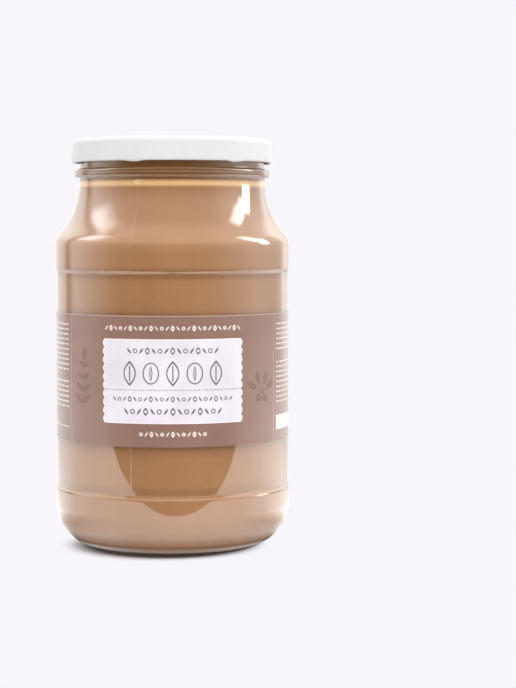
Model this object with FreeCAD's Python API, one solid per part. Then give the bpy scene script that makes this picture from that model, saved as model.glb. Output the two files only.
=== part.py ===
"""A round glass jar filled with walnut butter, with a wrap label and a white twist-off lid.

Millimetres, +Z up. The origin is on the jar's axis, in the plane of the ring that the jar stands on.
The label's front panel faces -Y, and its gap is at the back.
"""
import FreeCAD, Part
import math
import os
from FreeCAD import Vector

# Jar, outside
BODY_R = 50.4            # the two raised bands above and below the label
PANEL_R = 49.85          # the shallow panel that the label is stuck to
NECK_R = 40.0
STAND_INNER_R = 28.0     # the flat ring that the jar stands on
PUSH_UP = 3.2            # how far the middle of the base is hollowed
DISH_SHARE = 0.75        # share of a dished floor's height that it has half way out
HEEL_R = 19.5
LOWER_BAND_TOP = 25.7
PANEL_BOTTOM = 27.5
PANEL_TOP = 118.3
UPPER_BAND_BOTTOM = 119.7
SHOULDER_R = 7.0         # the rounded shoulder above the upper band
FLARE_R = 31.6           # the hollow curve from the shoulder up to the neck
NECK_BOTTOM = 156.0      # where that curve has turned upright
BEAD_Z = 160.15          # the ring below the lid
BEAD_R = 42.0
BEAD_HALF_HEIGHT = 1.85
FINISH_R = 39.7          # the mouth above that ring, inside the lid
RIM_TOP = 174.65
RIM_ROUND = 1.1

# Jar, inside
WALL = 2.8
FLOOR_Z = 5.0            # the inside floor at its lowest, beside the heel
FLOOR_MIDDLE_Z = 7.0
INNER_HEEL_R = 13.0

# Walnut butter
FILL_Z = 171.0           # just under the rim, behind the lid

# Lid
LID_TOP = 175.0
LID_SHEET = 0.35
LID_SKIRT_R = 42.95      # outside of the skirt at its lower edge
LID_SHOULDER_R = 42.3    # outside of the skirt just under its rounded corner
LID_CORNER_R = 2.5
CURL_R = 0.9             # the rolled lower edge
CURL_Z = 165.75          # the middle of the roll
CURL_CENTRE_R = 42.15
PANEL_EDGE_R = 35.4      # where the lid's top steps down to its middle panel
PANEL_STEP = 0.9
STEP_WIDTH = 0.9
LUG_COUNT = 6
LUG_FIRST_DEG = -112.0   # one lug is 22 degrees left of the front
LUG_SPAN_DEG = 8.0
LUG_R = 1.2              # the roll is fatter where it is pressed into a lug

# Label
LABEL_THICKNESS = 0.15
LABEL_BOTTOM = 47.8
LABEL_TOP = 101.5
LABEL_LENGTH = 290.0     # round the jar; the rest is the gap at the back


def line(start, end):
    return Part.LineSegment(Vector(*start), Vector(*end)).toShape()


def arc(start, middle, end):
    return Part.Arc(Vector(*start), Vector(*middle), Vector(*end)).toShape()


def at(radius, height):
    """A point of the half section, which lies in the XZ plane."""
    return (radius, 0.0, height)


def round_arc(centre, radius, from_deg, to_deg):
    """An arc of the half section about a centre given as (radius, height)."""
    points = []
    for degrees in (from_deg, (from_deg + to_deg) / 2, to_deg):
        turn = math.radians(degrees)
        points.append(at(centre[0] + radius * math.cos(turn), centre[1] + radius * math.sin(turn)))
    return arc(*points)


def spun(edges, degrees=360.0):
    """The closed half section turned about the jar's axis."""
    face = Part.Face(Part.Wire(edges))
    return face.revolve(Vector(0, 0, 0), Vector(0, 0, 1), degrees)


def first_point(edge):
    point = edge.firstVertex(True).Point
    return (point.x, point.y, point.z)


def last_point(edge):
    point = edge.lastVertex(True).Point
    return (point.x, point.y, point.z)


def shoulder_edges(inset):
    """The curve from the body up to the neck, moved in from the outside surface by inset.

    A convex shoulder arc leaves the body upright, and a hollow arc touches it and ends upright at
    the neck. Moving the surface in makes the first radius smaller and the second one larger.
    """
    shoulder_centre_r = BODY_R - SHOULDER_R
    flare_centre_r = NECK_R + FLARE_R
    across = flare_centre_r - shoulder_centre_r
    drop = math.sqrt((FLARE_R + SHOULDER_R) ** 2 - across ** 2)
    shoulder_centre = (shoulder_centre_r, NECK_BOTTOM - drop)
    flare_centre = (flare_centre_r, NECK_BOTTOM)
    meet_deg = math.degrees(math.atan2(drop, across))
    return [
        round_arc(shoulder_centre, SHOULDER_R - inset, 0.0, meet_deg),
        round_arc(flare_centre, FLARE_R + inset, 180.0 + meet_deg, 180.0),
    ]


def inside_edges(top):
    """The jar's inner surface, from the middle of its floor up to the height top."""
    wall_r = BODY_R - WALL
    heel_centre = (wall_r - INNER_HEEL_R, FLOOR_Z + INNER_HEEL_R)
    floor_mid = (heel_centre[0] / 2, FLOOR_Z + DISH_SHARE * (FLOOR_MIDDLE_Z - FLOOR_Z))
    floor = arc(at(0, FLOOR_MIDDLE_Z), at(*floor_mid), at(heel_centre[0], FLOOR_Z))
    heel = round_arc(heel_centre, INNER_HEEL_R, -90.0, 0.0)
    shoulder, flare = shoulder_edges(WALL)
    wall = line(last_point(heel), first_point(shoulder))
    neck = line(last_point(flare), at(NECK_R - WALL, top))
    return [floor, heel, wall, shoulder, flare, neck]


def outside_edges():
    """The jar's outer surface, from the middle of its base up to the outside of its rim."""
    stand_outer_r = BODY_R - HEEL_R
    push_mid = (STAND_INNER_R / 2, DISH_SHARE * PUSH_UP)
    shoulder, flare = shoulder_edges(0.0)
    corners = [
        at(BODY_R, LOWER_BAND_TOP),
        at(PANEL_R, PANEL_BOTTOM),
        at(PANEL_R, PANEL_TOP),
        at(BODY_R, UPPER_BAND_BOTTOM),
        first_point(shoulder),
    ]
    edges = [
        arc(at(0, PUSH_UP), at(*push_mid), at(STAND_INNER_R, 0)),
        line(at(STAND_INNER_R, 0), at(stand_outer_r, 0)),
        round_arc((stand_outer_r, HEEL_R), HEEL_R, -90.0, 0.0),
        line(at(BODY_R, HEEL_R), corners[0]),
    ]
    edges += [line(low, high) for low, high in zip(corners, corners[1:])]
    edges += [shoulder, flare]

    bead_low = at(NECK_R, BEAD_Z - BEAD_HALF_HEIGHT)
    bead_high = at(FINISH_R, BEAD_Z + BEAD_HALF_HEIGHT)
    rim_low = at(FINISH_R, RIM_TOP - RIM_ROUND)
    edges += [
        line(last_point(flare), bead_low),
        arc(bead_low, at(BEAD_R, BEAD_Z), bead_high),
        line(bead_high, rim_low),
    ]
    return edges


def make_jar():
    inner_r = NECK_R - WALL
    edges = outside_edges()
    edges += [
        round_arc((FINISH_R - RIM_ROUND, RIM_TOP - RIM_ROUND), RIM_ROUND, 0.0, 90.0),
        line(at(FINISH_R - RIM_ROUND, RIM_TOP), at(inner_r + RIM_ROUND, RIM_TOP)),
        round_arc((inner_r + RIM_ROUND, RIM_TOP - RIM_ROUND), RIM_ROUND, 90.0, 180.0),
    ]
    edges += inside_edges(RIM_TOP - RIM_ROUND)
    edges.append(line(at(0, PUSH_UP), at(0, FLOOR_MIDDLE_Z)))
    return spun(Part.__sortEdges__(edges))


def make_butter():
    edges = inside_edges(FILL_Z)
    edges.append(line(at(NECK_R - WALL, FILL_Z), at(0, FILL_Z)))
    edges.append(line(at(0, FILL_Z), at(0, FLOOR_MIDDLE_Z)))
    return spun(Part.__sortEdges__(edges))


def lid_line(offset):
    """The points of the lid's sheet, from the middle of its top to the lower edge of its skirt."""
    panel_z = LID_TOP - PANEL_STEP - offset
    ring_z = LID_TOP - offset
    corner = (LID_SHOULDER_R - LID_CORNER_R, LID_TOP - LID_CORNER_R)
    edges = [
        line(at(0, panel_z), at(PANEL_EDGE_R, panel_z)),
        line(at(PANEL_EDGE_R, panel_z), at(PANEL_EDGE_R + STEP_WIDTH, ring_z)),
        line(at(PANEL_EDGE_R + STEP_WIDTH, ring_z), at(corner[0], ring_z)),
        round_arc(corner, LID_CORNER_R - offset, 90.0, 0.0),
        line(at(LID_SHOULDER_R - offset, corner[1]), at(LID_SKIRT_R - offset, CURL_Z)),
    ]
    return edges


def make_curl(radius, from_deg=0.0, span_deg=360.0):
    """A length of the lid's rolled edge. A part roll is closed by a ball at each end."""
    lift = radius - CURL_R
    centre = Vector(CURL_CENTRE_R, 0, CURL_Z - lift / 2)
    ring = Part.Circle(centre, Vector(0, 1, 0), radius).toShape()
    roll = Part.Face(Part.Wire([ring])).revolve(Vector(0, 0, 0), Vector(0, 0, 1), span_deg)
    if span_deg < 360.0:
        for end_deg in (0.0, span_deg):
            ball = Part.makeSphere(radius, centre)
            ball.rotate(Vector(0, 0, 0), Vector(0, 0, 1), end_deg)
            roll = roll.fuse(ball)
        roll.rotate(Vector(0, 0, 0), Vector(0, 0, 1), from_deg)
    return roll


def make_lid():
    outer = lid_line(0.0)
    inner = lid_line(LID_SHEET)
    middle = line(first_point(outer[0]), first_point(inner[0]))
    lower = line(last_point(outer[-1]), last_point(inner[-1]))
    lid = spun(Part.__sortEdges__(outer + inner + [middle, lower]))
    lid = lid.fuse(make_curl(CURL_R))
    for number in range(LUG_COUNT):
        middle_deg = LUG_FIRST_DEG + number * 360.0 / LUG_COUNT
        lid = lid.fuse(make_curl(LUG_R, middle_deg - LUG_SPAN_DEG / 2, LUG_SPAN_DEG))
    return lid.removeSplitter()


def make_label():
    span_deg = math.degrees(LABEL_LENGTH / (PANEL_R + LABEL_THICKNESS))
    inner_r = PANEL_R
    outer_r = PANEL_R + LABEL_THICKNESS
    corners = [
        at(inner_r, LABEL_BOTTOM),
        at(outer_r, LABEL_BOTTOM),
        at(outer_r, LABEL_TOP),
        at(inner_r, LABEL_TOP),
    ]
    sides = [line(start, end) for start, end in zip(corners, corners[1:] + corners[:1])]
    label = spun(sides, span_deg)
    label.rotate(Vector(0, 0, 0), Vector(0, 0, 1), -90.0 - span_deg / 2)
    return label


def single_solid(shape):
    """The one solid of a shape, as a plain Part.Solid."""
    solids = shape.Solids
    if len(solids) != 1 or not solids[0].isValid():
        raise ValueError(f"expected one valid solid, found {len(solids)}")
    return solids[0]


NODES = {
    "glass_jar": make_jar,
    "walnut_butter": make_butter,
    "lid": make_lid,
    "label": make_label,
}

os.makedirs("parts", exist_ok=True)
for name, make in NODES.items():
    solid = single_solid(make())
    solid.exportStep(f"parts/{name}.step")
    print(f"{name}: {solid.Volume / 1000.0:.1f} cm3, top {solid.optimalBoundingBox().ZMax:.2f} mm")
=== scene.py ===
import math
import random
import bmesh
import bpy
from mathutils import Matrix, Vector


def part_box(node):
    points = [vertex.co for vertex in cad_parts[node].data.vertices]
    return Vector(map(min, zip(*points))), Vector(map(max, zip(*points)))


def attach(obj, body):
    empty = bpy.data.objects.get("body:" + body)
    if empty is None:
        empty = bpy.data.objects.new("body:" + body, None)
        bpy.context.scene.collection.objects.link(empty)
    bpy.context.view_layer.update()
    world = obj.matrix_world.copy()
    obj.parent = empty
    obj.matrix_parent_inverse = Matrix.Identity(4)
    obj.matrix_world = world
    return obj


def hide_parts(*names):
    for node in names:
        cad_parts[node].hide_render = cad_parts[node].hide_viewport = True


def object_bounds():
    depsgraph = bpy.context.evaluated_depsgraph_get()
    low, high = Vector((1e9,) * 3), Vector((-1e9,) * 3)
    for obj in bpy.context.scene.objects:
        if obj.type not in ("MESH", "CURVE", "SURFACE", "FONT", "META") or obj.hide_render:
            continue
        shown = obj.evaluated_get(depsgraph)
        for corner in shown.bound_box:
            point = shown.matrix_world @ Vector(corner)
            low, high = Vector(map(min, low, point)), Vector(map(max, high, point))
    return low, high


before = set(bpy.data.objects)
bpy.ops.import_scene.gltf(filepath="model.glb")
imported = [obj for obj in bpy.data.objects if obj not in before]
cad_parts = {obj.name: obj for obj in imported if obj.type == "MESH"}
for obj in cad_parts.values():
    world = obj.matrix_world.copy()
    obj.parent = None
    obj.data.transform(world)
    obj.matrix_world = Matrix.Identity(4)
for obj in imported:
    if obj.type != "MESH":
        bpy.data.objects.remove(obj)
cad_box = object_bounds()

# --- The glass jar -----------------------------------------------------------------------------
# A round jar of clear moulded glass, blown in a two-part mould. It stands on a narrow ring, has a
# shallow panel for the label between two bands, and a bead under the lid.
MM = 0.001
BODY_R = cad_box[1][1]
PANEL_R = 49.85 * MM
NECK_R = 40.0 * MM
MOUTH_R = 39.7 * MM
HEEL_R = 19.5 * MM
PUSH_UP = 3.2 * MM
PUSH_UP_FLAT_R = 17.0 * MM
STAND_INNER_R = 28.0 * MM
SHOULDER_R = 7.0 * MM
FLARE_R = 31.6 * MM
NECK_BOTTOM = 156.0 * MM
LOWER_STEPS = (25.7 * MM, 26.25 * MM, 27.35 * MM, 27.50 * MM)
BETWEEN_STEPS_R = 50.13 * MM
UPPER_STEP = (118.3 * MM, 119.7 * MM)
BEAD_R = 42.0 * MM
BEAD = (158.3 * MM, 162.0 * MM)
WALL = 2.8 * MM
INNER_HEEL_R = 13.0 * MM
FLOOR_Z = 5.0 * MM
FLOOR_MIDDLE_Z = 7.0 * MM
RIM_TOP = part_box("glass_jar")[1][2]
ROUND_STEPS = 256
FLAT_FROM = 1.0 * MM
FLAT_MARGIN = 0.3 * MM
SHARP_FROM = math.radians(40.0)


def rounded(corners, degrees_per_step=5.0):
    """The line through corners of (radius, height, rounding), each turned into an arc.

    A point just before and after each arc keeps the shading of the straight stretches flat.
    """
    line = [Vector(corners[0][:2])]
    for before, corner, after in zip(corners, corners[1:], corners[2:]):
        here = Vector(corner[:2])
        back = (Vector(before[:2]) - here).normalized()
        ahead = (Vector(after[:2]) - here).normalized()
        turn = math.pi - back.angle(ahead)
        reach = corner[2] * math.tan(turn / 2)
        start = here + back * reach
        centre = here + (back + ahead).normalized() * (corner[2] / math.cos(turn / 2))
        side = 1.0 if back.x * ahead.y - back.y * ahead.x < 0 else -1.0
        steps = max(2, math.ceil(math.degrees(turn) / degrees_per_step))
        straight = (start - line[-1]).length
        if straight > FLAT_FROM:
            line.append(line[-1].lerp(start, FLAT_MARGIN / straight))
            line.append(start + back * FLAT_MARGIN)
        for step in range(steps + 1):
            line.append(centre + Matrix.Rotation(side * turn * step / steps, 2) @ (start - centre))
    line.append(Vector(corners[-1][:2]))
    return line


def shoulder_corners(inset):
    """The two corners whose rounding makes the shoulder and the hollow flare up to the neck."""
    turn = math.acos(1 - (BODY_R - NECK_R) / (SHOULDER_R + FLARE_R))
    neck_z = NECK_BOTTOM - (FLARE_R + inset) * math.tan(turn / 2)
    body_z = neck_z - (BODY_R - NECK_R) / math.tan(turn)
    return [(BODY_R - inset, body_z, SHOULDER_R - inset), (NECK_R - inset, neck_z, FLARE_R + inset)]


def inside_corners(inset):
    """The jar's inner surface from the middle of its floor up to its neck, inset from the outside."""
    extra = WALL - inset
    return [
        (0.0, FLOOR_MIDDLE_Z - extra, 0.0),
        (PUSH_UP_FLAT_R, FLOOR_MIDDLE_Z - extra, 60 * MM),
        (BODY_R - inset - INNER_HEEL_R, FLOOR_Z - extra, 20 * MM),
        (BODY_R - inset, FLOOR_Z - extra, INNER_HEEL_R),
    ] + shoulder_corners(inset)


def spun(outline, start=(1.0, 0.0), steps=ROUND_STEPS, weld=0.002 * MM):
    """A bmesh of an outline of (radius, height) points turned about the jar's axis.

    It starts in the direction (x, y), and points closer than the weld become one.
    """
    bm = bmesh.new()
    points = [bm.verts.new((point[0] * start[0], point[0] * start[1], point[1])) for point in outline]
    edges = [bm.edges.new(pair) for pair in zip(points, points[1:])]
    bmesh.ops.spin(bm, geom=points + edges, cent=(0, 0, 0), axis=(0, 0, 1), angle=math.tau,
                   steps=steps, use_merge=True, use_duplicate=False)
    bmesh.ops.remove_doubles(bm, verts=bm.verts, dist=weld)
    bmesh.ops.recalc_face_normals(bm, faces=bm.faces)
    return bm


def made_of(bm, name, material):
    """Turns a bmesh into an object in one material."""
    mesh = bpy.data.meshes.new(name)
    bm.to_mesh(mesh)
    bm.free()
    mesh.materials.append(material)
    thing = bpy.data.objects.new(name, mesh)
    bpy.context.collection.objects.link(thing)
    return thing


def finished(name, bm, material, replaced=None):
    """Turns a bmesh into a piece of the object that rides on its one body, smooth but for edges."""
    for edge in bm.edges:
        edge.smooth = edge.calc_face_angle() < SHARP_FROM
    piece = made_of(bm, name, material)
    piece.data.shade_smooth()
    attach(piece, "root")
    if replaced:
        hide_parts(replaced)


def new_material(name):
    """A material with its node tree and its Principled shader."""
    material = bpy.data.materials.new(name)
    material.use_nodes = True
    tree = material.node_tree
    return material, tree, tree.nodes["Principled BSDF"]


def feed(tree, socket, source):
    """Feeds an input socket from an output socket or with a plain value."""
    if isinstance(source, bpy.types.NodeSocket):
        tree.links.new(source, socket)
    else:
        socket.default_value = source


def fed(tree, node, **sources):
    """A node whose inputs have been fed by name, with _ for each space in their names."""
    for label, source in sources.items():
        feed(tree, node.inputs[label.replace("_", " ")], source)
    return node


def operated(tree, kind, operation, operands):
    """A Math or Vector Math node whose operands are sockets or plain values, in their order."""
    node = tree.nodes.new(kind)
    node.operation = operation
    for socket, operand in zip(node.inputs, operands):
        feed(tree, socket, operand)
    return node


def calculated(tree, operation, *operands):
    return operated(tree, "ShaderNodeMath", operation, operands).outputs["Value"]


def vector_between(tree, operation, *operands):
    return operated(tree, "ShaderNodeVectorMath", operation, operands).outputs["Vector"]


def number_from(tree, operation, *vectors):
    """The number that a Vector Math node makes of one or two vectors, such as a length."""
    return operated(tree, "ShaderNodeVectorMath", operation, vectors).outputs["Value"]


def object_place(tree):
    return tree.nodes.new("ShaderNodeTexCoord").outputs["Object"]


def eased(tree, value, start, end, low=0.0, high=1.0):
    """A value socket that eases from low to high while another goes from start to end."""
    ramp = tree.nodes.new("ShaderNodeMapRange")
    ramp.interpolation_type = "SMOOTHSTEP"
    fed(tree, ramp, Value=value, From_Min=start, From_Max=end, To_Min=low, To_Max=high)
    return ramp.outputs["Result"]


def blended(tree, share, first, second):
    """The colour socket of a Mix node between two colours or colour sockets."""
    blend = tree.nodes.new("ShaderNodeMix")
    blend.data_type = "RGBA"
    return fed(tree, blend, Factor=share, A=first, B=second).outputs["Result"]


def mixed(tree, share, first, second):
    """The socket of a Mix Shader node between two shader sockets, by the share of the second."""
    node = tree.nodes.new("ShaderNodeMixShader")
    tree.links.new(share, node.inputs["Fac"])
    tree.links.new(first, node.inputs[1])
    tree.links.new(second, node.inputs[2])
    return node.outputs["Shader"]


def bumped(tree, shader, height, distance):
    """Raises a shader's surface by a height socket, over a distance in metres."""
    bump = fed(tree, tree.nodes.new("ShaderNodeBump"), Height=height, Distance=distance)
    tree.links.new(bump.outputs["Normal"], shader.inputs["Normal"])


def effect(name, inputs, outputs):
    """A node group with named inputs, each with its value to start from, and named outputs.

    Returns the group, the sockets that its inputs feed and the sockets that feed its outputs.
    """
    group = bpy.data.node_groups.new(name, "ShaderNodeTree")
    kinds = {1: "NodeSocketFloat", 3: "NodeSocketVector", 4: "NodeSocketColor"}
    for label, value in inputs.items():
        size = len(value) if isinstance(value, tuple) else 1
        socket = group.interface.new_socket(label, in_out="INPUT", socket_type=kinds[size])
        socket.default_value = value
    for label, kind in outputs.items():
        group.interface.new_socket(label, in_out="OUTPUT", socket_type=kind)
    return group, group.nodes.new("NodeGroupInput").outputs, group.nodes.new("NodeGroupOutput").inputs


def placed(tree, group, **values):
    """Places an effect in a material with its own values, and returns its outputs."""
    node = tree.nodes.new("ShaderNodeGroup")
    node.node_tree = group
    return fed(tree, node, **values).outputs


GREY = (0.5, 0.5, 0.5, 1.0)
uneven, given, made = effect(
    "uneven",
    {"Scale": 40.0, "Detail": 2.0, "Stretch": (1.0, 1.0, 1.0), "One Colour": GREY, "Other Colour": GREY},
    {"Colour": "NodeSocketColor", "Height": "NodeSocketFloat"},
)
stretched = vector_between(uneven, "MULTIPLY", object_place(uneven), given["Stretch"])
drift = fed(uneven, uneven.nodes.new("ShaderNodeTexNoise"), Vector=stretched,
            Scale=given["Scale"], Detail=given["Detail"])
drift_share = eased(uneven, drift.outputs["Fac"], 0.3, 0.7)
drift_colour = blended(uneven, drift_share, given["One Colour"], given["Other Colour"])
uneven.links.new(drift_colour, made["Colour"])
uneven.links.new(drift.outputs["Fac"], made["Height"])

lump, given, made = effect(
    "lump",
    {"Middle": (0.0, 0.0, 0.0), "Squeeze": (1.0, 1.0, 1.0), "Radius": 1.0 * MM},
    {"Height": "NodeSocketFloat"},
)
from_middle = vector_between(lump, "SUBTRACT", object_place(lump), given["Middle"])
squeezed = vector_between(lump, "MULTIPLY", from_middle, given["Squeeze"])
away = number_from(lump, "LENGTH", squeezed)
lump.links.new(eased(lump, away, 0.0, given["Radius"], 1.0, 0.0), made["Height"])

SEAM_DEGREES = -110.0
SEAM_HALF_WIDTH = 0.35 * MM
SEAM_RISE = 0.55
KNOB_Z = 156.2 * MM
KNOB_RISE = 2.5
LUMP_R = 1.2 * MM
BLISTER_RISE = 1.6
BLISTERS = ((-157.0, 151.5 * MM, 44.0 * MM), (-124.0, 119.5 * MM, BODY_R), (-53.0, 21.0 * MM, BODY_R))
WAVE_HEIGHT = 0.20 * MM


def on_wall(degrees, height, radius):
    """A point on the jar's side, by its angle about the axis from +X, its height and its radius."""
    angle = math.radians(degrees)
    return (radius * math.cos(angle), radius * math.sin(angle), height)


def clear_glass():
    """Clear glass, a little wavy, with the mould's seam, its knob on the neck and three blisters.

    Light and shadow pass straight through it, so that what it holds is lit.
    """
    material, tree, shader = new_material("clear_glass")
    fed(tree, shader, Base_Color=(0.985, 0.99, 0.985, 1.0), Roughness=0.0, IOR=1.5,
        Transmission_Weight=1.0)
    seam_angle = math.radians(SEAM_DEGREES)
    seam_normal = (-math.sin(seam_angle), math.cos(seam_angle), 0.0)
    across = number_from(tree, "DOT_PRODUCT", object_place(tree), seam_normal)
    seam = eased(tree, calculated(tree, "ABSOLUTE", across), 0.0, SEAM_HALF_WIDTH, 1.0, 0.0)
    waves = placed(tree, uneven, Scale=38.0, Detail=1.0, Stretch=(1.0, 1.0, 0.6))["Height"]
    broken_seam = calculated(tree, "MULTIPLY", seam, waves)
    total = calculated(tree, "MULTIPLY_ADD", broken_seam, SEAM_RISE, waves)
    knob_middle = on_wall(SEAM_DEGREES, KNOB_Z, NECK_R)
    knob = placed(tree, lump, Middle=knob_middle, Squeeze=(0.5, 0.5, 1.0), Radius=LUMP_R)
    total = calculated(tree, "MULTIPLY_ADD", knob["Height"], KNOB_RISE, total)
    for degrees, height, radius in BLISTERS:
        blister = placed(tree, lump, Middle=on_wall(degrees, height, radius), Radius=LUMP_R)
        total = calculated(tree, "MULTIPLY_ADD", blister["Height"], BLISTER_RISE, total)
    bumped(tree, shader, total, WAVE_HEIGHT)
    path = tree.nodes.new("ShaderNodeLightPath")
    passing = calculated(tree, "MAXIMUM", path.outputs["Is Shadow Ray"], path.outputs["Is Diffuse Ray"])
    clear = tree.nodes.new("ShaderNodeBsdfTransparent").outputs["BSDF"]
    surface = mixed(tree, passing, shader.outputs["BSDF"], clear)
    tree.links.new(surface, tree.nodes["Material Output"].inputs["Surface"])
    return material


jar_outline = rounded([
    (0.0, PUSH_UP, 0.0),
    (PUSH_UP_FLAT_R, PUSH_UP, 30 * MM),
    (STAND_INNER_R, 0.0, 1.5 * MM),
    (BODY_R, 0.0, HEEL_R),
    (BODY_R, LOWER_STEPS[0], 0.8 * MM),
    (BETWEEN_STEPS_R, LOWER_STEPS[1], 0.8 * MM),
    (BETWEEN_STEPS_R, LOWER_STEPS[2], 0.12 * MM),
    (PANEL_R, LOWER_STEPS[3], 0.18 * MM),
    (PANEL_R, UPPER_STEP[0], 1.2 * MM),
    (BODY_R, UPPER_STEP[1], 1.2 * MM),
    *shoulder_corners(0.0),
    (NECK_R, BEAD[0], 0.6 * MM),
    (BEAD_R, BEAD[0], 1.1 * MM),
    (BEAD_R, BEAD[1], 1.1 * MM),
    (MOUTH_R, BEAD[1], 0.6 * MM),
    (MOUTH_R, RIM_TOP, 1.1 * MM),
    (NECK_R - WALL, RIM_TOP, 1.1 * MM),
    *reversed(inside_corners(WALL)),
])
finished("jar_glass", spun(jar_outline), clear_glass(), "glass_jar")

# --- The walnut butter -------------------------------------------------------------------------
# Smooth brown paste of ground walnuts that fills the jar nearly to its rim. Its colour holds a painted
# bright golden band at the foot of the neck, painted shade from the lid above that, and painted rings
# of shade and highlight. It wets the glass, so this piece reaches just into the wall, and no gap shows.
WETTING = 0.25 * MM
FILL_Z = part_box("walnut_butter")[1][2]
PAINTED_LIGHT_BAND = (153.9 * MM, 157.0 * MM)
PAINTED_LIGHT_BAND_EDGE = 1.6 * MM
LID_SHADE_EDGE = 0.9 * MM
STREAK_BROWN = (0.26, 0.120, 0.050, 1.0)
SKIN_BROWN = (0.16, 0.075, 0.035, 1.0)
PAINTED_LIGHT_GOLD = (0.75, 0.47, 0.22, 1.0)
PAINTED_LID_SHADE_BROWN = (0.205, 0.090, 0.029, 1.0)
PAINTED_SHADE_BROWN = (0.10, 0.042, 0.016, 1.0)
PAINTED_HIGHLIGHT_GOLD = (0.72, 0.47, 0.30, 1.0)
# Rings of painted shade and painted highlight on the butter, for how the glass's steps, bead and
# shoulder shade and light it. Each ring's middle, its half height, how strong it is and its colour.
PAINTED_SHADE_AND_HIGHLIGHT_RINGS = (
    (118.3 * MM, 3.6 * MM, 0.40, PAINTED_SHADE_BROWN),
    (29.0 * MM, 2.6 * MM, 0.22, PAINTED_SHADE_BROWN),
    (26.0 * MM, 1.0 * MM, 0.35, PAINTED_HIGHLIGHT_GOLD),
    (158.2 * MM, 0.9 * MM, 0.85, PAINTED_SHADE_BROWN),
    (160.4 * MM, 0.35 * MM, 0.35, PAINTED_HIGHLIGHT_GOLD),
    (161.8 * MM, 0.9 * MM, 0.35, PAINTED_SHADE_BROWN),
    (133.5 * MM, 8.0 * MM, 0.14, PAINTED_HIGHLIGHT_GOLD),
    (146.0 * MM, 8.0 * MM, 0.04, PAINTED_HIGHLIGHT_GOLD),
)


def butter_material():
    """Two close browns in soft drifts, fine specks of skin, and a painted golden band of light under
    painted shade from the lid.

    Rings of painted shade in brown and painted highlight in gold stand for the way the glass's
    steps, bead and shoulder shade and light the butter behind them.
    """
    material, tree, shader = new_material("walnut_butter")
    paste = placed(tree, uneven, Scale=22.0, Detail=3.0, Stretch=(1.0, 1.0, 0.5),
                   One_Colour=(0.345, 0.171, 0.077, 1.0), Other_Colour=(0.385, 0.198, 0.092, 1.0))
    streaks = placed(tree, uneven, Scale=110.0, Detail=2.0, Stretch=(1.0, 1.0, 0.10))
    streaky = eased(tree, streaks["Height"], 0.45, 0.75, 0.0, 0.16)
    grit = placed(tree, uneven, Scale=700.0, Detail=1.0)
    specks = eased(tree, grit["Height"], 0.70, 0.78, 0.0, 0.35)
    colour = blended(tree, streaky, paste["Colour"], STREAK_BROWN)
    colour = blended(tree, specks, colour, SKIN_BROWN)
    apart = fed(tree, tree.nodes.new("ShaderNodeSeparateXYZ"), Vector=object_place(tree))
    height = calculated(tree, "MULTIPLY_ADD", grit["Height"], 0.5 * MM, apart.outputs["Z"])
    # A painted bright golden band of light just under the bead.
    painted_light_band_share = eased(tree, height, PAINTED_LIGHT_BAND[0], PAINTED_LIGHT_BAND[0] + PAINTED_LIGHT_BAND_EDGE)
    colour = blended(tree, painted_light_band_share, colour, PAINTED_LIGHT_GOLD)
    # Painted shade from the lid: the butter's colour turns darker brown over its top.
    above = eased(tree, height, PAINTED_LIGHT_BAND[1] - LID_SHADE_EDGE, PAINTED_LIGHT_BAND[1] + LID_SHADE_EDGE)
    colour = blended(tree, above, colour, PAINTED_LID_SHADE_BROWN)
    # Painted rings of shade and highlight, laid over the butter's own colour.
    for middle, half_height, share, tint in PAINTED_SHADE_AND_HIGHLIGHT_RINGS:
        off = calculated(tree, "ABSOLUTE", calculated(tree, "SUBTRACT", apart.outputs["Z"], middle))
        ring = eased(tree, off, 0.2 * half_height, half_height, share, 0.0)
        colour = blended(tree, ring, colour, tint)
    fed(tree, shader, Base_Color=colour, Roughness=0.8, Specular_IOR_Level=0.0)
    bumped(tree, shader, grit["Height"], 0.03 * MM)
    return material


butter_outline = rounded([
    *inside_corners(WALL - WETTING),
    (NECK_R - WALL + WETTING, FILL_Z, 0.5 * MM),
    (0.0, FILL_Z, 0.0),
])
finished("butter", spun(butter_outline), butter_material(), "walnut_butter")

# --- The lid -----------------------------------------------------------------------------------
# A twist-off lid pressed from white lacquered tinplate. Its lower edge is rolled inwards and
# pressed into six lugs, and its top has a raised ring over the mouth round a lower middle panel.
LID_TOP = cad_box[1][2]
LID_BOTTOM = 164.85 * MM
SKIRT_R = 42.95 * MM
LID_SHOULDER_R = 42.3 * MM
LID_SHEET = 0.35 * MM
LID_RING_R = 36.3 * MM
LID_PANEL_DROP = 0.9 * MM
SKIRT_SHEET = 0.5 * MM
CURL_WIDTH = 1.6 * MM
CURL_HEIGHT = 1.8 * MM
LUGS = 6
FIRST_LUG = math.radians(-112.0)
LUG_HALF_ANGLE = math.radians(5.5)
LUG_HEIGHT = 2.2 * MM
LUG_DROP = 0.5 * MM
LUG_REACH = 0.9 * MM
LUG_INSIDE_R = SKIRT_R - 0.8 * MM


def lugged(bm):
    """Presses the rolled lower edge of the lid down and inwards at each lug."""
    for vert in bm.verts:
        angle = math.atan2(vert.co.y, vert.co.x) - FIRST_LUG
        off = abs((angle + math.pi / LUGS) % (math.tau / LUGS) - math.pi / LUGS)
        low = (LID_BOTTOM + LUG_HEIGHT - vert.co.z) / LUG_HEIGHT
        press = max(0.0, 1.0 - (off / LUG_HALF_ANGLE) ** 2) * max(0.0, low)
        radius = vert.co.xy.length
        inward = press * LUG_REACH if radius < LUG_INSIDE_R else 0.0
        vert.co.xy *= (radius - inward) / radius if radius else 1.0
        vert.co.z -= press * LUG_DROP
    return bm


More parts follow.
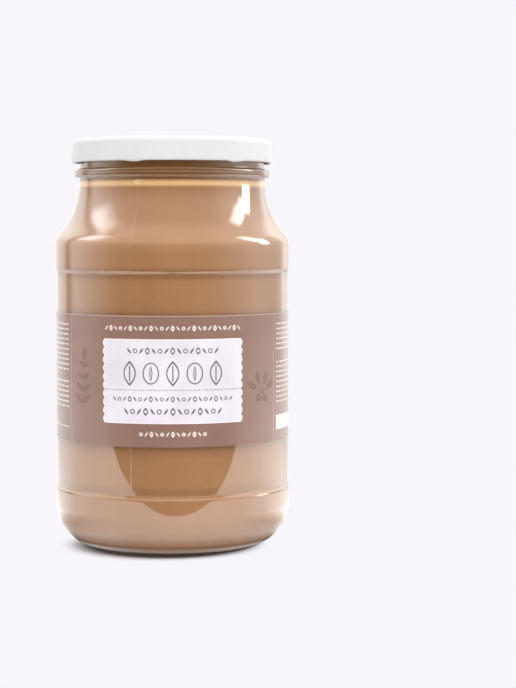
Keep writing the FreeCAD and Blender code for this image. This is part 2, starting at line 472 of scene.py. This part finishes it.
def lid_material():
    """Lacquer with the faint orange peel of a rolled coat."""
    material, tree, shader = new_material("white_lacquer")
    coat = placed(tree, uneven, Scale=160.0, Detail=2.0,
                  One_Colour=(0.67, 0.67, 0.665, 1.0), Other_Colour=(0.69, 0.69, 0.685, 1.0))
    fed(tree, shader, Base_Color=coat["Colour"], Roughness=0.5, Specular_IOR_Level=0.2)
    bumped(tree, shader, coat["Height"], 0.03 * MM)
    return material


lid_outline = rounded([
    (0.0, LID_TOP - LID_PANEL_DROP, 0.0),
    (LID_RING_R - LID_PANEL_DROP, LID_TOP - LID_PANEL_DROP, 0.6 * MM),
    (LID_RING_R, LID_TOP, 0.8 * MM),
    (LID_SHOULDER_R, LID_TOP, 2.5 * MM),
    (SKIRT_R, LID_BOTTOM + 1.2 * MM, 3.0 * MM),
    (SKIRT_R, LID_BOTTOM, 0.75 * MM),
    (SKIRT_R - CURL_WIDTH, LID_BOTTOM, 0.75 * MM),
    (SKIRT_R - CURL_WIDTH, LID_BOTTOM + CURL_HEIGHT, 0.3 * MM),
    (SKIRT_R - SKIRT_SHEET, LID_BOTTOM + CURL_HEIGHT, 0.3 * MM),
    (LID_SHOULDER_R - SKIRT_SHEET, LID_TOP - LID_SHEET, 2.0 * MM),
    (LID_RING_R, LID_TOP - LID_SHEET, 0.3 * MM),
    (LID_RING_R - LID_PANEL_DROP, LID_TOP - LID_PANEL_DROP - LID_SHEET, 0.3 * MM),
    (0.0, LID_TOP - LID_PANEL_DROP - LID_SHEET, 0.0),
])
finished("lid_cap", lugged(spun(lid_outline)), lid_material(), "lid")

# --- The label ---------------------------------------------------------------------------------
# A strip of glossy printed paper stuck round the panel of the jar, brown all over. Its front
# panel faces -Y, and its two ends leave a gap at the back.
LABEL_LOW, LABEL_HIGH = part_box("label")[0][2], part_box("label")[1][2]
LABEL_THICKNESS = 0.15 * MM
LABEL_R = PANEL_R + LABEL_THICKNESS
LABEL_LENGTH = 290.0 * MM
PAPER_BITE = 0.05 * MM
INK = 0.02 * MM
INK_DRIFT = 0.06
BEND_STEP = 1.3 * MM


def strip(bm, width, height, at=(0.0, 0.0), turn=0.0):
    """Adds a flat rectangle to a print, in its own plane: X along the label and Y up it."""
    shape = bmesh.ops.create_grid(bm, x_segments=1, y_segments=1, size=0.5)["verts"]
    laid(bm, shape, width, height, at, turn)


def laid(bm, shape, width, height, at, turn):
    """Scales a flat shape of unit size, turns it by an angle and moves it to its place."""
    bmesh.ops.scale(bm, vec=(width, height, 1.0), verts=shape)
    bmesh.ops.rotate(bm, cent=(0, 0, 0), matrix=Matrix.Rotation(turn, 3, "Z"), verts=shape)
    bmesh.ops.translate(bm, vec=(at[0], at[1], 0.0), verts=shape)


def wrapped(bm, level):
    """Bends a flat print round the jar, as a thin layer that reaches into the paper under it.

    Each level of print stands a little prouder than the one below, and level 0 is the paper.
    """
    reach = max(abs(vert.co.x) for vert in bm.verts)
    cuts = math.floor(reach / BEND_STEP)
    for cut in range(-cuts, cuts + 1):
        everything = bm.verts[:] + bm.edges[:] + bm.faces[:]
        bmesh.ops.bisect_plane(bm, geom=everything, plane_co=(cut * BEND_STEP, 0, 0), plane_no=(1, 0, 0))
    outer = LABEL_R + level * INK
    inner = PANEL_R - PAPER_BITE if level == 0 else LABEL_R - PAPER_BITE
    front = bmesh.ops.extrude_face_region(bm, geom=bm.faces[:])["geom"]
    raised = {item for item in front if isinstance(item, bmesh.types.BMVert)}
    for vert in bm.verts:
        radius = outer if vert in raised else inner
        angle = vert.co.x / LABEL_R
        vert.co = (radius * math.sin(angle), -radius * math.cos(angle), vert.co.y)
    bmesh.ops.recalc_face_normals(bm, faces=bm.faces)
    return bm


def print_material(name, colour):
    """Ink or paper under the label's gloss, a little uneven in colour."""
    material, tree, shader = new_material(name)
    darker = (*[value * (1.0 - INK_DRIFT) for value in colour], 1.0)
    lighter = (*[min(value * (1.0 + INK_DRIFT), 1.0) for value in colour], 1.0)
    ink = placed(tree, uneven, Scale=60.0, Detail=3.0, One_Colour=darker, Other_Colour=lighter)
    fed(tree, shader, Base_Color=ink["Colour"], Roughness=0.25, Specular_IOR_Level=0.25,
        Sheen_Weight=0.35, Sheen_Roughness=0.3)
    bumped(tree, shader, ink["Height"], 0.04 * MM)
    return material


def printed(name, bm, level, material):
    finished(name, wrapped(bm, level), material, "label" if level == 0 else None)


paper = bmesh.new()
strip(paper, LABEL_LENGTH, LABEL_HIGH - LABEL_LOW, (0.0, (LABEL_LOW + LABEL_HIGH) / 2))
printed("label_paper", paper, 0, print_material("brown_paper", (0.274, 0.159, 0.123)))

# --- The fold lines ----------------------------------------------------------------------------
# Fine rose lines printed on the label. Two run down it, at the two ends of its front panel, and one
# runs along its top edge.
FRONT_HALF = 50.3 * MM
LINE = 0.35 * MM
fold_lines = bmesh.new()
for side in (-1, 1):
    strip(fold_lines, LINE, LABEL_HIGH - LABEL_LOW - LINE,
          (side * FRONT_HALF, (LABEL_LOW + LABEL_HIGH - LINE) / 2))
strip(fold_lines, LABEL_LENGTH, LINE, (0.0, LABEL_HIGH - LINE / 2))
printed("label_fold_lines", fold_lines, 1, print_material("rose_ink", (0.52, 0.36, 0.31)))

# --- The pale panel ----------------------------------------------------------------------------
# A pale panel like a postage stamp is printed on the front. Its ends are scalloped, and a warm
# white border shows round it.
STAMP_WIDTH = 61.0 * MM
STAMP_LOW, STAMP_HIGH = 57.4 * MM, 92.0 * MM
STAMP_BORDER = 0.45 * MM
SCALLOPS = 10
SCALLOP_DEPTH = 0.9 * MM
SCALLOP_FULLNESS = 0.8
SCALLOP_STEPS = 8


def stamp(border):
    """A flat panel whose two upright ends are rows of scallops, inset by a border."""
    bm = bmesh.new()
    shape = bmesh.ops.create_grid(bm, x_segments=1, y_segments=SCALLOPS * SCALLOP_STEPS, size=0.5)["verts"]
    for vert in shape:
        bulge = abs(math.sin((vert.co.y + 0.5) * SCALLOPS * math.pi)) ** SCALLOP_FULLNESS
        vert.co.x *= 1.0 - 2.0 * SCALLOP_DEPTH * (1.0 - bulge) / STAMP_WIDTH
    middle = (0.0, (STAMP_LOW + STAMP_HIGH) / 2)
    laid(bm, shape, STAMP_WIDTH - 2 * border, STAMP_HIGH - STAMP_LOW - 2 * border, middle, 0.0)
    return bm


printed("label_panel_border", stamp(0.0), 1, print_material("warm_white", (0.92, 0.83, 0.82)))
printed("label_panel", stamp(STAMP_BORDER), 2, print_material("pale_paper", (0.77, 0.735, 0.78)))

# --- The grey print ----------------------------------------------------------------------------
# Fine grey ornament on the pale panel: a dotted line across it, leaf and nut outlines in a large
# row over that line, and rows of small leaves and rings.
STROKE = 0.5 * MM
DOTS_EACH_SIDE = 27
DOT_PITCH = 1.1 * MM
DOTTED_Z = 71.2 * MM
FIGURE_PITCH = 9.0 * MM
FIGURES_Z = 78.0 * MM
FIGURE_HEIGHT = 10.4 * MM
FIGURE_INSIDE = 0.62
PLUMP = 0.62
SLIM = 0.26


def oval(bm, width, height, at, turn=0.0, pointed=False, stroke=None, steps=24):
    """Adds a flat oval, or a leaf with a point at each end. A stroke leaves only its outline."""
    loops = []
    for inset in (0.0, stroke) if stroke else (0.0,):
        loop = bmesh.ops.create_circle(bm, cap_ends=not stroke, segments=steps, radius=0.5)["verts"]
        if pointed:
            for vert in loop:
                vert.co.x *= abs(vert.co.x) * 2.0
        tip = inset * (2.0 if pointed else 1.0)
        laid(bm, loop, width - 2 * inset, height - 2 * tip, at, turn)
        loops += {edge for vert in loop for edge in vert.link_edges}
    if stroke:
        bmesh.ops.bridge_loops(bm, edges=loops)


def small_row(bm, half_length, middle, height, pitch, stroke):
    """A row of leaf outlines and rings of one height, with a slim leaning leaf between each two."""
    places = int(half_length / pitch)
    for place in range(-places, places + 1):
        at = (place * pitch, middle)
        kind = place % 4
        if kind == 0:
            oval(bm, height * PLUMP, height, at, pointed=True, stroke=stroke)
        elif kind == 2:
            oval(bm, height * PLUMP, height * PLUMP, at, stroke=stroke, steps=16)
        else:
            lean = math.radians(35.0 if kind == 1 else -35.0)
            oval(bm, height * SLIM, height * 0.95, at, turn=lean, pointed=True, steps=12)


grey_print = bmesh.new()
for dot in range(-DOTS_EACH_SIDE, DOTS_EACH_SIDE + 1):
    oval(grey_print, STROKE, STROKE, (dot * DOT_PITCH, DOTTED_Z), steps=8)
for place in range(-2, 3):
    at = (place * FIGURE_PITCH, FIGURES_Z)
    if place % 2:
        oval(grey_print, FIGURE_HEIGHT * 0.66, FIGURE_HEIGHT * 0.86, at, stroke=STROKE, steps=32)
        oval(grey_print, 1.3 * MM, FIGURE_HEIGHT * FIGURE_INSIDE, at, pointed=True, stroke=0.4 * MM)
    else:
        oval(grey_print, FIGURE_HEIGHT * 0.52, FIGURE_HEIGHT, at, pointed=True, stroke=STROKE, steps=32)
        strip(grey_print, STROKE, FIGURE_HEIGHT * FIGURE_INSIDE, at)
small_row(grey_print, half_length=20.0 * MM, middle=87.2 * MM, height=3.2 * MM, pitch=2.6 * MM,
          stroke=0.4 * MM)
small_row(grey_print, half_length=27.0 * MM, middle=67.5 * MM, height=2.6 * MM, pitch=2.25 * MM,
          stroke=0.35 * MM)
small_row(grey_print, half_length=22.0 * MM, middle=62.4 * MM, height=3.4 * MM, pitch=2.8 * MM,
          stroke=0.45 * MM)
printed("label_grey_print", grey_print, 3, print_material("grey_ink", (0.17, 0.145, 0.155)))

# --- The pale print ----------------------------------------------------------------------------
# Warm white ornament on the brown paper: a row over the pale panel and a short row under it. The
# side panels have blocks of fine rules, over a blank box on the right and a long rule on the left.
SIDE_START = 52.5 * MM
SIDE_END = 112.0 * MM
RULE = 0.5 * MM
RULE_SHORTEST, RULE_LONGEST = 2.0, 8.0
RULE_GAP = 0.9 * MM
RULE_PITCH = 2.1 * MM
RAGGED = 14.0
BOX_WIDTH = 34.0 * MM
BOX_HEIGHT = 6.2 * MM
LONG_RULE = 44.0 * MM


def ruled_block(bm, side, low, high, draws):
    """Rows of short rules of uneven length, from the front panel's fold line round one side."""
    rows = int((high - low) / RULE_PITCH)
    for row in range(rows):
        along = SIDE_START
        end = SIDE_END - draws.uniform(0.0, RAGGED) * MM
        while along < end:
            length = draws.uniform(RULE_SHORTEST, RULE_LONGEST) * MM
            strip(bm, length, RULE, (side * (along + length / 2), high - row * RULE_PITCH))
            along += length + RULE_GAP


pale_print = bmesh.new()
for half_length, middle in ((30.0 * MM, 96.4 * MM), (13.7 * MM, 53.1 * MM)):
    small_row(pale_print, half_length, middle, height=2.6 * MM, pitch=2.2 * MM, stroke=0.5 * MM)
draws = random.Random(11)
for side, low, high in ((1, 84.0, 97.0), (1, 62.0, 81.0), (-1, 76.0, 97.0), (-1, 60.0, 73.0)):
    ruled_block(pale_print, side, low * MM, high * MM, draws)
strip(pale_print, BOX_WIDTH, BOX_HEIGHT, (SIDE_START + BOX_WIDTH / 2, 55.4 * MM))
strip(pale_print, LONG_RULE, LINE, (-SIDE_START - LONG_RULE / 2, 54.0 * MM))
printed("label_pale_print", pale_print, 1, print_material("warm_white_ink", (0.84, 0.72, 0.66)))

# --- The brown sprigs --------------------------------------------------------------------------
# Darker brown sprigs printed on the brown paper: a leafy stem on the left of the pale panel, and a
# fan of four leaves over two nuts on its right.
NUT = 3.4 * MM
STEM = 0.45 * MM
LEAF_SLIMNESS = 0.42
LEAF_SPREAD = math.radians(52.0)
LEAF_SHRINK = 0.12


def sprig(bm, foot, length, lean, pairs, leaf):
    """Adds a stem with one leaf at its tip and pairs of leaves along it that shrink towards the tip."""
    ahead = Vector((math.sin(lean), math.cos(lean)))
    foot = Vector(foot)
    strip(bm, STEM, length, foot + ahead * length / 2, turn=-lean)
    tip = foot + ahead * (length + leaf * 0.42)
    oval(bm, leaf * LEAF_SLIMNESS, leaf, tip, turn=-lean, pointed=True)
    for pair in range(pairs):
        along = foot + ahead * length * (pair + 0.45) / pairs
        for side in (-1, 1):
            turn = lean + side * LEAF_SPREAD
            size = leaf * (1.0 - LEAF_SHRINK * pair)
            out = Vector((math.sin(turn), math.cos(turn))) * (size * 0.52)
            oval(bm, size * LEAF_SLIMNESS, size, along + out, turn=-turn, pointed=True)


sprigs = bmesh.new()
sprig(sprigs, foot=(-42.6 * MM, 62.5 * MM), length=20.0 * MM, lean=math.radians(4.0), pairs=4,
      leaf=6.0 * MM)
for lean in (-58.0, -20.0, 20.0, 58.0):
    sprig(sprigs, foot=(41.5 * MM, 68.5 * MM), length=4.0 * MM, lean=math.radians(lean), pairs=0,
          leaf=6.5 * MM)
for nut in ((39.4 * MM, 66.8 * MM), (43.6 * MM, 66.4 * MM)):
    oval(sprigs, NUT, NUT, nut)
printed("label_sprigs", sprigs, 1, print_material("dark_brown_ink", (0.195, 0.105, 0.085)))

# --- The stage ---------------------------------------------------------------------------------
# A white table with a white wall behind it, in soft light from above and in front, a little from the
# right. The glass mirrors the table, white walls and ceiling, a softbox on the left, a window on the
# right, and a dark room in front.
WHITE = (0.94, 0.925, 0.97, 1.0)
NEUTRAL = (1.0, 1.0, 1.0, 1.0)
DARK_ROOM = 0.12
TABLE_WHITE = (0.735, 0.725, 0.76, 1.0)
PAINTED_CONTACT_SHADOW_GREY = (0.12, 0.11, 0.11, 1.0)
PAINTED_CONTACT_SHADOW_SHARE = 0.75
PAINTED_CONTACT_SHADOW_REACH = (0.034, 0.0395)
SHADOW_REACH = (0.034, 0.0465)
SHADOW_MIDDLE = (-0.004, 0.0, 0.0)
TABLE_FRONT = -0.178
TABLE_TURN = 0.04
TABLE_BOW = -0.15
TABLE_EDGE_WIDTH = 0.010
DOME_R = 0.9
DOME_MIDDLE = Vector((0.0, 0.0, 0.08))
DOME_LOWEST = -12

# How bright each thing is that the glass mirrors, by the degrees around the jar from the side
# that the label faces towards +X, and then by the degrees up from the level of the jar.
WALLS = (
    ((-180, 1.0), (-157, 1.4), (-143, 1.8), (-131, 2.1), (-127, 1.7), (-123, 0.7), (-119, 0.8),
     (-113, 2.2), (-106, 3.0), (-96, 2.9), (-84, 2.4), (-60, 0.5), (-48, 0.0), (15, 0.0), (36, 0.3),
     (48, 0.7), (60, 1.5), (84, 2.6), (96, 2.5), (120, 1.6), (130, 1.7), (134, 2.3), (140, 2.6),
     (150, 1.7), (158, 1.3), (180, 1.0)),
    ((-12, 1.0), (35, 1.0), (60, 0.3), (75, 0.0)),
)
CEILING = (((-180, 0.9), (180, 0.9)), ((12, 0.0), (28, 1.0), (90, 1.0)))
SOFTBOX = (((-117, 0.0), (-107, 6.5), (-94, 6.5), (-74, 0.0)), ((24, 0.0), (33, 1.0), (48, 1.0), (57, 0.0)))
# The window is seen slanting, in three steps.
WINDOW = (
    (((93, 0.0), (94, 13.0), (107, 13.0), (109, 0.0)), ((8, 0.0), (10, 1.0), (30, 1.0), (34, 0.0))),
    (((85, 0.0), (89, 11.0), (96, 11.0), (97, 0.0)), ((18, 0.0), (22, 1.0), (30, 1.0), (33, 0.0))),
    (((79, 0.0), (84, 11.0), (98, 12.0), (102, 0.0)), ((26, 0.0), (32, 1.0), (45, 1.0), (51, 0.0))),
)
MIRRORED = (WALLS, CEILING, SOFTBOX, *WINDOW)
# How bright the mirrored table is round the jar, and how that fades towards the jar and beside it.
# The fading is painted shade in the table's reflection, and close to the jar's foot it holds a thin
# painted light ring.
TABLE_GLOW = ((-180, 0.9), (-148, 1.6), (-115, 3.3), (-60, 3.9), (52, 3.9), (94, 4.9), (104, 4.5),
              (115, 3.9), (148, 1.4), (180, 0.9))
NEAR_JAR = ((0.0, 0.02), (0.0380, 0.02), (0.0392, 0.30), (0.0414, 0.30), (0.0424, 0.06), (0.0434, 0.06),
            (0.0446, 0.20), (0.0462, 0.28), (0.0485, 0.52), (0.052, 0.85), (0.060, 1.0), (20.0, 1.0))
BESIDE_JAR = ((0, 0.0), (40, 0.0), (80, 0.65), (130, 0.65), (180, 0.2))
BESIDE_REACH = ((0.0, 1.0), (0.065, 1.0), (0.11, 0.0), (20.0, 0.0))


def staged(name, bm, material):
    thing = made_of(bm, name, material)
    return thing


def glow(tree, strength):
    lamp = fed(tree, tree.nodes.new("ShaderNodeEmission"), Color=NEUTRAL, Strength=strength)
    return lamp.outputs["Emission"]


def looked_at(tree):
    """1 for rays from the eye, straight or through the glass, and 0 for the rest."""
    path = tree.nodes.new("ShaderNodeLightPath")
    return calculated(tree, "MAXIMUM", path.outputs["Is Camera Ray"], path.outputs["Is Transmission Ray"])


def in_outer_gloss(tree):
    """1 for rays that an outer surface mirrors, and 0 for the rest and for any mirrored in the glass."""
    path = tree.nodes.new("ShaderNodeLightPath")
    outside = calculated(tree, "LESS_THAN", path.outputs["Transmission Depth"], 0.5)
    return calculated(tree, "MULTIPLY", path.outputs["Is Glossy Ray"], outside)


def level_at(stops, value):
    """The level between two stops of (value, level)."""
    for (start, low), (end, high) in zip(stops, stops[1:]):
        if start <= value <= end:
            return low + (high - low) * (value - start) / (end - start)
    return 0.0


def turned_round(profile, steps, painted):
    """Turns a profile of (radius, height) about the axis and paints each point's brightness."""
    bm = spun(profile, start=(0.0, -1.0), steps=steps, weld=0.1 * MM)
    brightness = bm.verts.layers.float.new("brightness")
    for vert in bm.verts:
        around = math.degrees(math.atan2(vert.co.x, -vert.co.y))
        vert[brightness] = painted(around, vert.co)
    return bm


def painted_glow(tree):
    layer = tree.nodes.new("ShaderNodeAttribute")
    layer.attribute_name = "brightness"
    return glow(tree, layer.outputs["Fac"])


def table_material():
    """A white table with soft shadows round the jar, as white as the wall beyond them, and a painted
    contact shadow in its colour where the jar touches it.

    The jar mirrors its painted brightness as far as its front edge, and the dark room past that.
    """
    material, tree, shader = new_material("white_table")
    from_axis = number_from(tree, "LENGTH", object_place(tree))
    # A painted contact shadow: the table's colour turns dark grey where the jar touches it.
    painted_contact_shadow = eased(tree, from_axis, *PAINTED_CONTACT_SHADOW_REACH, PAINTED_CONTACT_SHADOW_SHARE, 0.0)
    colour = blended(tree, painted_contact_shadow, TABLE_WHITE, PAINTED_CONTACT_SHADOW_GREY)
    fed(tree, shader, Base_Color=colour, Roughness=0.9, Specular_IOR_Level=0.0)
    aside = vector_between(tree, "SUBTRACT", object_place(tree), SHADOW_MIDDLE)
    unshaded = eased(tree, number_from(tree, "LENGTH", aside), *SHADOW_REACH)
    share = calculated(tree, "MULTIPLY", looked_at(tree), unshaded)
    white = fed(tree, tree.nodes.new("ShaderNodeEmission"), Color=WHITE).outputs["Emission"]
    seen = mixed(tree, share, shader.outputs["BSDF"], white)
    apart = fed(tree, tree.nodes.new("ShaderNodeSeparateXYZ"), Vector=object_place(tree))
    edge = calculated(tree, "MULTIPLY_ADD", apart.outputs["X"], TABLE_TURN, TABLE_FRONT)
    sideways = calculated(tree, "ABSOLUTE", apart.outputs["X"])
    edge = calculated(tree, "MULTIPLY_ADD", sideways, TABLE_BOW, edge)
    short_of_edge = calculated(tree, "SUBTRACT", apart.outputs["Y"], edge)
    past_edge = eased(tree, short_of_edge, -TABLE_EDGE_WIDTH / 2, TABLE_EDGE_WIDTH / 2, 1.0, 0.0)
    mirrored = mixed(tree, past_edge, painted_glow(tree), glow(tree, DARK_ROOM))
    surface = mixed(tree, in_outer_gloss(tree), seen, mirrored)
    tree.links.new(surface, tree.nodes["Material Output"].inputs["Surface"])
    return material


def table_brightness(around, point):
    shaded = level_at(BESIDE_JAR, abs(around)) * level_at(BESIDE_REACH, point.length)
    return level_at(TABLE_GLOW, around) * level_at(NEAR_JAR, point.length) * (1.0 - shaded)


near_rings = [radius for radius, level in NEAR_JAR[:-1]]
far_rings = [0.065, 0.085, 0.11, 0.15, 0.2, 0.5, 2.0, 8.0]
table_profile = [(radius, 0.0) for radius in near_rings + far_rings]
staged("table", turned_round(table_profile, steps=120, painted=table_brightness), table_material())


def dome_material():
    """Glows for the gloss of outer surfaces only, and is clear to every other ray."""
    material, tree, shader = new_material("surroundings")
    tree.nodes.remove(shader)
    clear = tree.nodes.new("ShaderNodeBsdfTransparent").outputs["BSDF"]
    surface = mixed(tree, in_outer_gloss(tree), clear, painted_glow(tree))
    tree.links.new(surface, tree.nodes["Material Output"].inputs["Surface"])
    return material


def dome_brightness(around, point):
    up = math.degrees(math.asin(max(-1.0, min(1.0, point.z / DOME_R))))
    return DARK_ROOM + sum(level_at(sides, around) * level_at(heights, up) for sides, heights in MIRRORED)


dome_profile = [(DOME_R * math.cos(math.radians(up)), DOME_R * math.sin(math.radians(up)))
                for up in range(DOME_LOWEST, 91)]
dome = turned_round(dome_profile, steps=360, painted=dome_brightness)
bmesh.ops.translate(dome, vec=DOME_MIDDLE, verts=dome.verts)
surroundings = staged("surroundings", dome, dome_material())
surroundings.visible_camera = False
surroundings.visible_diffuse = False
surroundings.visible_transmission = False
surroundings.visible_shadow = False

world = bpy.data.worlds.new("room")
world.use_nodes = True
bpy.context.scene.world = world
room = world.node_tree
LIGHT_FROM = Vector((0.10, -0.42, 0.90)).normalized()
LIGHT_FOCUS = 3.0
LIGHT = 2.7
AMBIENT = 0.40
heading = room.nodes.new("ShaderNodeTexCoord").outputs["Generated"]
toward = number_from(room, "DOT_PRODUCT", heading, LIGHT_FROM)
lobe = calculated(room, "POWER", calculated(room, "MAXIMUM", toward, 0.0), LIGHT_FOCUS)
soft = calculated(room, "MULTIPLY_ADD", lobe, LIGHT, AMBIENT)
soft_light = fed(room, room.nodes["Background"], Color=NEUTRAL, Strength=soft)
backdrop = fed(room, room.nodes.new("ShaderNodeBackground"), Color=WHITE)
seen = mixed(room, looked_at(room), soft_light.outputs["Background"], backdrop.outputs["Background"])
room.links.new(seen, room.nodes["World Output"].inputs["Surface"])

# --- The camera --------------------------------------------------------------------------------
# Level with the jar's shoulder, a little over 80 cm away, and turned so that the jar stands left
# of the middle.
CAMERA_DISTANCE = 0.820
CAMERA_Z = 137.5 * MM
CAMERA_DOWN = 3.525
CAMERA_RIGHT = 2.577
lens = bpy.data.cameras.new("camera")
lens.lens = 99.3
lens.sensor_width = 36.0
camera = bpy.data.objects.new("camera", lens)
camera.location = (0.0, -CAMERA_DISTANCE, CAMERA_Z)
camera.rotation_euler = (math.radians(90.0 - CAMERA_DOWN), 0.0, math.radians(-CAMERA_RIGHT))
bpy.context.collection.objects.link(camera)
bpy.context.scene.camera = camera
bpy.context.scene.view_settings.view_transform = "Standard"
